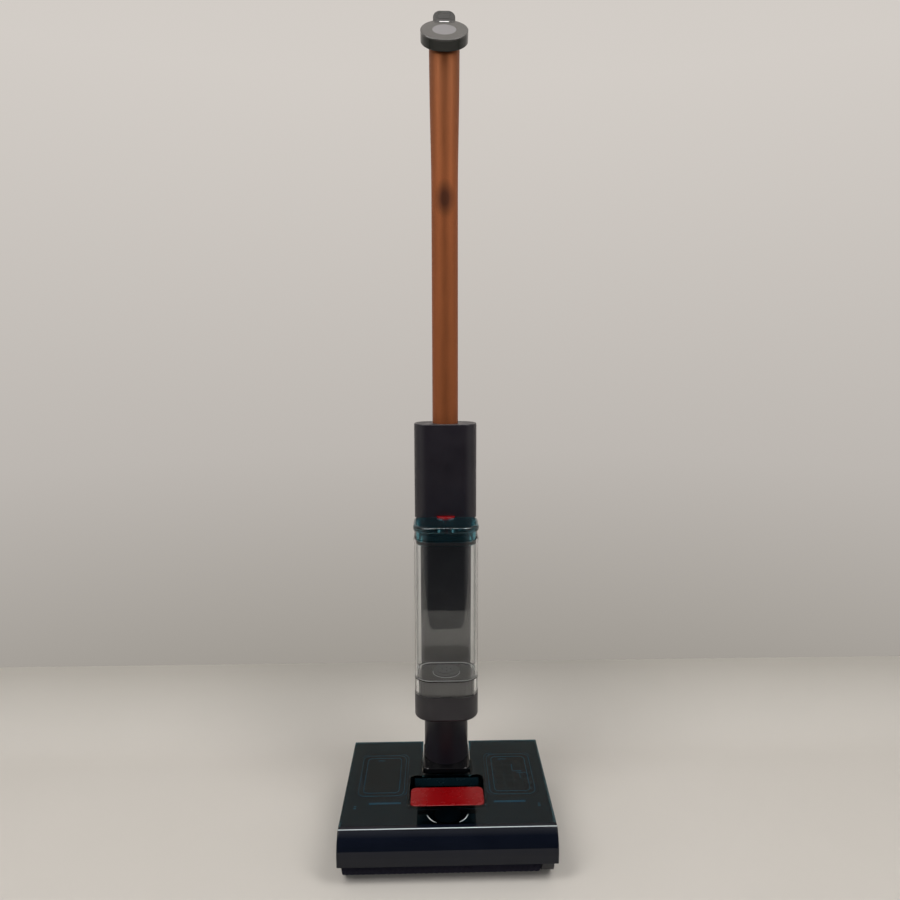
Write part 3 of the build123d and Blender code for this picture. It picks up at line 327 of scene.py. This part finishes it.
def roller_pile():
    """The roller's sleeve with its tufts: a closed tube whose outside dips between spiral rows of pile."""
    low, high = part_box("roller_sleeve")
    centre_y = (low.y + high.y) / 2
    centre_z = (low.z + high.z) / 2
    outer = (high.z - low.z) / 2
    inner = outer - PILE_THICK
    length = high.x - low.x
    mesh = bmesh.new()
    rings = []
    for step in range(PILE_ALONG + 1):
        x = low.x + length * step / PILE_ALONG
        end = min(x - low.x, high.x - x)
        dip = PILE_END_ROUND * (1 - math.sqrt(max(0.0, 1 - (1 - min(1.0, end / PILE_END_ROUND)) ** 2)))
        ring = []
        for turn in range(PILE_AROUND):
            angle = 2 * math.pi * turn / PILE_AROUND
            row = math.sin((x / MM) * 0.9 + 6.0 * angle)
            tuft = noise.noise(Vector((x / MM * 0.42, math.cos(angle) * 12.0, math.sin(angle) * 12.0)))
            fuzz = noise.noise(Vector((x / MM * 1.1, math.cos(angle) * 34.0, math.sin(angle) * 34.0)))
            radius = outer - dip - MM * (0.38 + 0.14 * row + 0.30 * tuft + 0.16 * fuzz)
            radius = min(radius, outer)
            ring.append(mesh.verts.new((x, centre_y + radius * math.cos(angle),
                                        centre_z + radius * math.sin(angle))))
        rings.append(ring)
    bores = []
    for x in (low.x, high.x):
        angles = [2 * math.pi * turn / PILE_AROUND for turn in range(PILE_AROUND)]
        bores.append([mesh.verts.new((x, centre_y + inner * math.cos(angle),
                                      centre_z + inner * math.sin(angle))) for angle in angles])
    loops = [bores[0]] + rings + [bores[1]]
    for first, second in zip(loops, loops[1:] + loops[:1]):
        for turn in range(PILE_AROUND):
            after = (turn + 1) % PILE_AROUND
            mesh.faces.new((first[turn], second[turn], second[after], first[after]))
    bmesh.ops.recalc_face_normals(mesh, faces=mesh.faces)
    data = bpy.data.meshes.new("roller_pile")
    mesh.to_mesh(data)
    piece = add_piece("roller_pile", data, finishes["pile"], "roller")
    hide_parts("roller_sleeve")


roller_pile()


def rounded_outline(x_range, y_range, radius, corner_steps=6):
    """Points round a rectangle with rounded corners."""
    points = []
    corners = ((x_range[1], y_range[1], 0), (x_range[0], y_range[1], 90), (x_range[0], y_range[0], 180),
               (x_range[1], y_range[0], 270))
    for x, y, start in corners:
        centre_x = x - math.copysign(radius, x - sum(x_range) / 2)
        centre_y = y - math.copysign(radius, y - sum(y_range) / 2)
        for step in range(corner_steps + 1):
            angle = math.radians(start + 90 * step / corner_steps)
            points.append((centre_x + radius * math.cos(angle), centre_y + radius * math.sin(angle)))
    return points


def frame_mesh(mesh, x_range, y_range, radius, width, z_range):
    """A closed ring of rectangular section along a rounded rectangle, added to a bmesh."""
    outer = rounded_outline(x_range, y_range, radius)
    inner_x = (x_range[0] + width, x_range[1] - width)
    inner_y = (y_range[0] + width, y_range[1] - width)
    inner = rounded_outline(inner_x, inner_y, max(radius - width, 0.4 * MM))
    low, high = z_range
    loops = [[mesh.verts.new((x, y, z)) for x, y in points]
             for points, z in ((outer, low), (outer, high), (inner, high), (inner, low))]
    count = len(outer)
    for first, second in zip(loops, loops[1:] + loops[:1]):
        for place in range(count):
            after = (place + 1) % count
            mesh.faces.new((first[place], first[after], second[after], second[place]))


def bar_mesh(mesh, x_range, y_range, z_range, soft_edge):
    """A small bar, with its edges rounded by soft_edge millimetres, added to a bmesh."""
    made = bmesh.ops.create_cube(mesh, size=1.0)["verts"]
    for vert in made:
        vert.co.x = x_range[0] + (vert.co.x + 0.5) * (x_range[1] - x_range[0])
        vert.co.y = y_range[0] + (vert.co.y + 0.5) * (y_range[1] - y_range[0])
        vert.co.z = z_range[0] + (vert.co.z + 0.5) * (z_range[1] - z_range[0])
    if soft_edge:
        edges = list({edge for vert in made for edge in vert.link_edges})
        bmesh.ops.bevel(mesh, geom=edges, offset=soft_edge * MM, segments=2, affect="EDGES")


# the ribs are real; their bright teal is painted light along their edges
rib_teal_lit = moulded("rib_teal_painted_light", (0.07, 0.45, 0.60), 0.35)
# pale paint for painted highlights: the hood's edge line and the glints on the latch's bowl
highlight_paint = moulded("painted_highlight_plastic", (0.75, 0.85, 0.88), 0.15, variation=0.03)
# painted glow: teal for the light that comes through the cover round the finger recess
teal_glow_paint = moulded("painted_teal_glow_plastic", (0.005, 0.017, 0.024), 0.25)
COVER_UNDER = 67.4 * MM  # underside of the cover's top
WELL_SIDES = (64 * MM, 126 * MM)
WELL_ENDS = (-24 * MM, 72 * MM)
RECESS_HOLE = (-56 * MM, 56 * MM, -58 * MM, 21 * MM)  # left, right, front, rear
NOTCH_HOLE = (-39 * MM, 39 * MM, 20 * MM, 1.0)
LINER_EDGE = 3.0 * MM
LINER_FRONT = 4.0 * MM
LINER_FOOT = 30.0 * MM
LINER_THICK = 0.5 * MM
RIB_HEIGHT = 0.5 * MM


def cover_liner():
    """Dark shell close under the smoked cover, open over the two wells, the recess and the notch."""
    low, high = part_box("dirty_tank_cover")
    holes = [(-WELL_SIDES[1], -WELL_SIDES[0], *WELL_ENDS), (*WELL_SIDES, *WELL_ENDS), RECESS_HOLE, NOTCH_HOLE]
    edge = LINER_EDGE
    top = COVER_UNDER - 0.6 * MM
    x_cuts = sorted({low.x + edge, high.x - edge, *(x for hole in holes for x in hole[:2])})
    y_holes = (y for hole in holes for y in hole[2:] if y < high.y)
    y_cuts = sorted({low.y + LINER_FRONT, high.y - edge, *y_holes})
    mesh = bmesh.new()
    for x0, x1 in zip(x_cuts, x_cuts[1:]):
        for y0, y1 in zip(y_cuts, y_cuts[1:]):
            centre = ((x0 + x1) / 2, (y0 + y1) / 2)
            if not any(h[0] < centre[0] < h[1] and h[2] < centre[1] < h[3] for h in holes):
                bar_mesh(mesh, (x0, x1), (y0, y1), (top - 0.6 * MM, top), 0.0)
    for side in (-1, 1):
        wall = sorted((side * (high.x - edge), side * (high.x - edge - LINER_THICK)))
        bar_mesh(mesh, wall, (low.y + LINER_FRONT, high.y - edge), (LINER_FOOT, top), 0.0)
        rear = sorted((side * NOTCH_HOLE[1], side * (high.x - edge)))
        bar_mesh(mesh, rear, (high.y - edge - LINER_THICK, high.y - edge), (LINER_FOOT, top), 0.0)
    data = bpy.data.meshes.new("cover_liner")
    mesh.to_mesh(data)
    add_piece("cover_liner", data, finishes["tub_black"], "dirty_tank", smooth=False)


def tank_ribs():
    """Moulded ribs under the smoked cover, which show through it as teal lines round the two wells; their
    bright teal is painted light along the ribs' edges.
    """
    heights = (COVER_UNDER - RIB_HEIGHT, COVER_UNDER)
    mesh = bmesh.new()
    for side in (-1, 1):
        for inset, width in ((0.0, 0.8), (4.0, 0.7), (11.0, 1.0)):
            x_range = sorted((side * (57 + inset) * MM, side * (131 - inset) * MM))
            y_range = ((-32 + inset) * MM, (79 - inset) * MM)
            frame_mesh(mesh, x_range, y_range, (14 - inset * 0.6) * MM, width * MM, heights)
        strip = sorted((side * 65 * MM, side * 109 * MM))
        bar_mesh(mesh, strip, (-46.5 * MM, -43.0 * MM), heights, 0.1)
        square = sorted((side * 125.5 * MM, side * 129.5 * MM))
        for y_range in ((-56 * MM, -53.5 * MM), (-51 * MM, -49.5 * MM)):
            bar_mesh(mesh, square, y_range, heights, 0.1)
    for x0, x1, y0, y1 in ((79, 92, 60, 61.5), (98, 112, 28, 29), (98, 99, 28, 46), (-104, -94, 60, 61.5),
                           (104, 118, 24, 25), (108, 109, 10, 24)):
        bar_mesh(mesh, (x0 * MM, x1 * MM), (y0 * MM, y1 * MM), heights, 0.1)
    data = bpy.data.meshes.new("tank_ribs")
    bmesh.ops.recalc_face_normals(mesh, faces=mesh.faces)
    mesh.to_mesh(data)
    add_piece("tank_ribs", data, rib_teal_lit, "dirty_tank", smooth=False)


def arc_mesh(mesh, centre, radius, width, angles, z_range):
    """A thin curved bar round part of a circle, added to a bmesh."""
    steps = 10
    rings = []
    for step in range(steps + 1):
        angle = math.radians(angles[0] + (angles[1] - angles[0]) * step / steps)
        taper = width * math.sin(math.pi * (step + 0.6) / (steps + 1.2))
        ring = []
        for reach, z in ((0, z_range[0]), (0, z_range[1]), (taper, z_range[1]), (taper, z_range[0])):
            ring.append(mesh.verts.new((centre[0] + (radius + reach) * math.cos(angle),
                                        centre[1] + (radius + reach) * math.sin(angle), z)))
        rings.append(ring)
    for first, second in zip(rings, rings[1:]):
        for place in range(4):
            after = (place + 1) % 4
            mesh.faces.new((first[place], first[after], second[after], second[place]))
    mesh.faces.new(rings[0])
    mesh.faces.new(list(reversed(rings[-1])))


def recess_details():
    """Rounded teal edge round the finger recess and its rear face, whose teal is a painted glow of light
    through the cover, and two pale arcs on the cover that are a painted glint of the latch's bowl.
    """
    # painted glow: the recess's edge and rear face coloured as light through the teal cover
    edge = bmesh.new()
    frame_mesh(edge, (-57.5 * MM, 57.5 * MM), (-59.5 * MM, 22 * MM), 10 * MM, 1.6 * MM,
               (COVER_UNDER - 0.1 * MM, COVER_UNDER + 0.05 * MM))
    bar_mesh(edge, (-47 * MM, 47 * MM), (16.2 * MM, 17.2 * MM), (53.5 * MM, 66 * MM), 0.2)
    bmesh.ops.recalc_face_normals(edge, faces=edge.faces)
    data = bpy.data.meshes.new("recess_edge")
    edge.to_mesh(data)
    add_piece("recess_edge", data, teal_glow_paint, "dirty_tank", smooth=False)
    # painted highlight: two pale arcs on the cover's top for the glints on the bowl's rim
    glints = bmesh.new()
    for angles in ((196, 238), (302, 344)):
        arc_mesh(glints, (0, -66 * MM), 28.7 * MM, 0.9 * MM, angles, (69.9 * MM, 70.1 * MM))
    bmesh.ops.recalc_face_normals(glints, faces=glints.faces)
    data = bpy.data.meshes.new("bowl_glints")
    glints.to_mesh(data)
    add_piece("bowl_glints", data, highlight_paint, "dirty_tank", smooth=False)


HOOD_EDGE = (-101.6, 69.5)  # where the hood's top turns down: across the machine and up
HOOD_BEAD = 0.75
BEAD_AROUND = 12
BEAD_END_GAP = 0.6 * MM


def hood_highlight_bead():
    """A bright bead along the hood's top edge; its pale colour is a painted highlight."""
    low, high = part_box("roller_hood")
    mesh = bmesh.new()
    angles = [2 * math.pi * turn / BEAD_AROUND for turn in range(BEAD_AROUND)]
    ends = []
    for x in (low.x + BEAD_END_GAP, high.x - BEAD_END_GAP):
        ends.append([mesh.verts.new((x, HOOD_EDGE[0] * MM + HOOD_BEAD * MM * math.cos(angle),
                                     HOOD_EDGE[1] * MM + HOOD_BEAD * MM * math.sin(angle)))
                     for angle in angles])
    for turn in range(BEAD_AROUND):
        after = (turn + 1) % BEAD_AROUND
        mesh.faces.new((ends[0][turn], ends[0][after], ends[1][after], ends[1][turn]))
    mesh.faces.new(ends[0])
    mesh.faces.new(list(reversed(ends[1])))
    bmesh.ops.recalc_face_normals(mesh, faces=mesh.faces)
    data = bpy.data.meshes.new("hood_highlight_bead")
    mesh.to_mesh(data)
    add_piece("hood_highlight_bead", data, highlight_paint, "chassis")


FOOT_INSET = 6.0 * MM
FOOT_CORNER = 18 * MM
FOOT_WALL = (201 * MM, 221 * MM)
FOOT_LID = (220.9 * MM, 221.7 * MM)
TANK_FLOOR = 225.1 * MM
RING_RADIUS = 20 * MM


def foot_liner():
    """Frosted cup inside the clear tank's foot, under the tank's floor."""
    low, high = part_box("clean_tank")
    inset = FOOT_INSET
    mesh = bmesh.new()
    x_range = (low.x + inset, high.x - inset)
    y_range = (low.y + inset, high.y - inset)
    frame_mesh(mesh, x_range, y_range, FOOT_CORNER, 1.0 * MM, FOOT_WALL)
    points = rounded_outline(x_range, y_range, FOOT_CORNER)
    lids = [[mesh.verts.new((x, y, z)) for x, y in points] for z in FOOT_LID]
    mesh.faces.new(list(reversed(lids[0])))
    mesh.faces.new(lids[1])
    for place in range(len(points)):
        after = (place + 1) % len(points)
        mesh.faces.new((lids[0][place], lids[0][after], lids[1][after], lids[1][place]))
    data = bpy.data.meshes.new("foot_liner")
    bmesh.ops.recalc_face_normals(mesh, faces=mesh.faces)
    mesh.to_mesh(data)
    add_piece("foot_liner", data, frosted, "clean_tank", smooth=False)


def floor_rings():
    """Bright moulded lines on the clear tank's floor: one round its edge and one round the valve."""
    low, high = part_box("clean_tank")
    inset = 2.9 * MM
    mesh = bmesh.new()
    x_range = (low.x + inset, high.x - inset)
    y_range = (low.y + inset, high.y - inset)
    frame_mesh(mesh, x_range, y_range, 21 * MM, 0.7 * MM, (TANK_FLOOR, TANK_FLOOR + 1.0 * MM))
    middle = (low.y + high.y) / 2
    frame_mesh(mesh, (-RING_RADIUS, RING_RADIUS), (middle - RING_RADIUS, middle + RING_RADIUS),
               RING_RADIUS - 0.1 * MM, 0.6 * MM, (TANK_FLOOR, TANK_FLOOR + 0.5 * MM))
    bmesh.ops.recalc_face_normals(mesh, faces=mesh.faces)
    data = bpy.data.meshes.new("floor_rings")
    mesh.to_mesh(data)
    add_piece("floor_rings", data, ring_bright, "clean_tank", smooth=False)


ring_bright = moulded("bright_moulded_line", (0.62, 0.63, 0.63), 0.25, variation=0.03)
frosted = moulded("frosted_grey_plastic", (0.115, 0.11, 0.105), 0.45, grain=0.05)
cover_liner()
tank_ribs()
recess_details()
hood_highlight_bead()
foot_liner()
floor_rings()

# ------------------------------------------------------------------ studio
WALL_Y = 0.30
COVE_RADIUS = 0.12
COVE_STEPS = 12
WALL_TOP = 4.0
ROOM_HALF = 5.0
PALE_ROOM = (  # past the floor, by how far the view direction rises: dim below, then paler to the top
    (-0.41, (0.43, 0.40, 0.36)),
    (-0.14, (0.63, 0.59, 0.55)),
    (0.33, (0.81, 0.76, 0.71)),
)
SHADE_LOW_HEIGHT = 120.0  # millimetres: the painted shade on the wall is darkest at this height
FLOOR_FRONT = -0.76  # the pale floor stops in front of the machine; the room beyond is dark


def sweep(name, profile):
    """A surface of the studio, from one side of the room to the other."""
    mesh = bmesh.new()
    left = [mesh.verts.new((-ROOM_HALF, y, z)) for y, z in profile]
    right = [mesh.verts.new((ROOM_HALF, y, z)) for y, z in profile]
    for place in range(len(profile) - 1):
        mesh.faces.new((left[place], right[place], right[place + 1], left[place + 1]))
    data = bpy.data.meshes.new(name)
    mesh.to_mesh(data)
    for face in data.polygons:
        face.use_smooth = True
    shell = bpy.data.objects.new(name, data)
    bpy.context.scene.collection.objects.link(shell)
    data.materials.append(studio_paint)
    return shell


def wall_paint():
    """Pale matt paint with painted shade along the foot of the wall, and seen from one side only."""
    shade = Shade("studio_paint")
    drift = shade.span(shade.noise(0.004, 3.0), -15.0, 15.0)
    # painted shade: darker near the foot of the wall, lighter higher up
    shade_offset = shade.add("ShaderNodeMath", operation="SUBTRACT")
    shade.join(shade.height(), shade_offset.inputs[0])
    shade_offset.inputs[1].default_value = SHADE_LOW_HEIGHT
    apart = shade.add("ShaderNodeMath", operation="ABSOLUTE")
    shade.join(shade_offset.outputs[0], apart.inputs[0])
    uneven = shade.add("ShaderNodeMath", operation="ADD")
    shade.join(apart.outputs[0], uneven.inputs[0])
    shade.join(drift, uneven.inputs[1])
    lit_share = shade.span(uneven.outputs[0], 0.0, 1.0, 0.0, 400.0)
    shade.set(Base_Color=shade.blend(lit_share, (0.540, 0.518, 0.478), (0.680, 0.648, 0.625)))
    shade.set(Roughness=0.9, Specular_IOR_Level=0.0)
    # seen from behind, the cove doesn't hide the machine
    side = shade.add("ShaderNodeNewGeometry")
    gone = shade.add("ShaderNodeBsdfTransparent")
    either = shade.add("ShaderNodeMixShader")
    shade.join(side.outputs["Backfacing"], either.inputs[0])
    shade.join(shade.shader.outputs[0], either.inputs[1])
    shade.join(gone.outputs[0], either.inputs[2])
    shade.join(either.outputs[0], shade.tree.nodes["Material Output"].inputs["Surface"])
    return shade.material


studio_paint = wall_paint()


def studio_shell():
    """Floor with a cove at its rear, and the wall above it.

    The lens looks past the wall into the pale room, so that the reclined handle is not hidden.
    """
    cove_front = WALL_Y - COVE_RADIUS
    floor = [(FLOOR_FRONT, 0.0), (cove_front, 0.0)]
    for step in range(1, COVE_STEPS + 1):
        angle = math.radians(90 * step / COVE_STEPS)
        floor.append((cove_front + COVE_RADIUS * math.sin(angle), COVE_RADIUS * (1 - math.cos(angle))))
    sweep("studio_floor", floor)
    wall = sweep("studio_wall", [(WALL_Y, COVE_RADIUS), (WALL_Y, WALL_TOP)])
    wall.visible_camera = False


def area_light(name, place, target, size, power, colour=(1, 1, 1)):
    data = bpy.data.lights.new(name, "AREA")
    data.shape = "RECTANGLE"
    data.size = size[0]
    data.size_y = size[1]
    data.energy = power
    data.color = colour
    light = bpy.data.objects.new(name, data)
    light.location = place
    light.rotation_euler = (Vector(target) - Vector(place)).to_track_quat("-Z", "Y").to_euler()
    bpy.context.scene.collection.objects.link(light)
    return light


def room_world():
    """A soft room: bright above and to the sides, dark in front and behind; pale where the lens sees it."""
    world = bpy.data.worlds.new("studio_world")
    bpy.context.scene.world = world
    world.use_nodes = True
    tree = world.node_tree
    background = tree.nodes["Background"]
    place = tree.nodes.new("ShaderNodeTexCoord")
    split = tree.nodes.new("ShaderNodeSeparateXYZ")
    tree.links.new(place.outputs["Generated"], split.inputs[0])
    sideways = tree.nodes.new("ShaderNodeMath")
    sideways.operation = "ABSOLUTE"
    tree.links.new(split.outputs["X"], sideways.inputs[0])
    spread = tree.nodes.new("ShaderNodeMapRange")
    spread.inputs["From Min"].default_value = 0.35
    spread.inputs["From Max"].default_value = 0.85
    tree.links.new(sideways.outputs[0], spread.inputs["Value"])
    above = tree.nodes.new("ShaderNodeMapRange")
    above.inputs["From Min"].default_value = 0.72
    above.inputs["From Max"].default_value = 0.95
    tree.links.new(split.outputs["Z"], above.inputs["Value"])
    either = tree.nodes.new("ShaderNodeMath")
    either.operation = "MAXIMUM"
    tree.links.new(spread.outputs[0], either.inputs[0])
    tree.links.new(above.outputs[0], either.inputs[1])
    colour = tree.nodes.new("ShaderNodeMix")
    colour.data_type = "RGBA"
    colour.inputs[6].default_value = (0.05, 0.05, 0.055, 1.0)
    colour.inputs[7].default_value = (0.62, 0.61, 0.60, 1.0)
    tree.links.new(either.outputs[0], colour.inputs[0])
    rise = tree.nodes.new("ShaderNodeMapRange")
    rise.inputs["From Min"].default_value = PALE_ROOM[0][0]
    rise.inputs["From Max"].default_value = PALE_ROOM[-1][0]
    tree.links.new(split.outputs["Z"], rise.inputs["Value"])
    pale = tree.nodes.new("ShaderNodeValToRGB")
    while len(pale.color_ramp.elements) < len(PALE_ROOM):
        pale.color_ramp.elements.new(0.5)
    for stop, (height, tone) in zip(pale.color_ramp.elements, PALE_ROOM):
        stop.position = (height - PALE_ROOM[0][0]) / (PALE_ROOM[-1][0] - PALE_ROOM[0][0])
        stop.color = (*tone, 1.0)
    tree.links.new(rise.outputs[0], pale.inputs[0])
    path = tree.nodes.new("ShaderNodeLightPath")
    seen = tree.nodes.new("ShaderNodeMix")
    seen.data_type = "RGBA"
    tree.links.new(pale.outputs[0], seen.inputs[7])
    tree.links.new(path.outputs["Is Camera Ray"], seen.inputs[0])
    tree.links.new(colour.outputs[2], seen.inputs[6])
    tree.links.new(seen.outputs[2], background.inputs["Color"])
    background.inputs["Strength"].default_value = 0.8


def studio_lights():
    area_light("ceiling_left", (-1.3, -0.9, 2.5), (0.0, 0.0, 0.5), (1.0, 1.8), 32.0, (1.0, 0.98, 0.95))
    area_light("ceiling_right", (1.3, -0.9, 2.5), (0.0, 0.0, 0.5), (1.0, 1.8), 29.5, (1.0, 0.98, 0.95))
    fill = area_light("front_fill", (0.0, -2.6, 1.3), (0.0, 0.0, 0.6), (2.4, 1.2), 14.0)
    fill.visible_glossy = False
    fill.visible_transmission = False
    strip = area_light("ceiling_strip", (0.0, -0.45, 2.6), (0.0, -0.4, 0.0), (2.6, 0.5), 40.0)
    strip.visible_diffuse = False
    strip.visible_transmission = False
    room_world()


studio_shell()
studio_lights()
bpy.context.scene.view_settings.view_transform = "Standard"
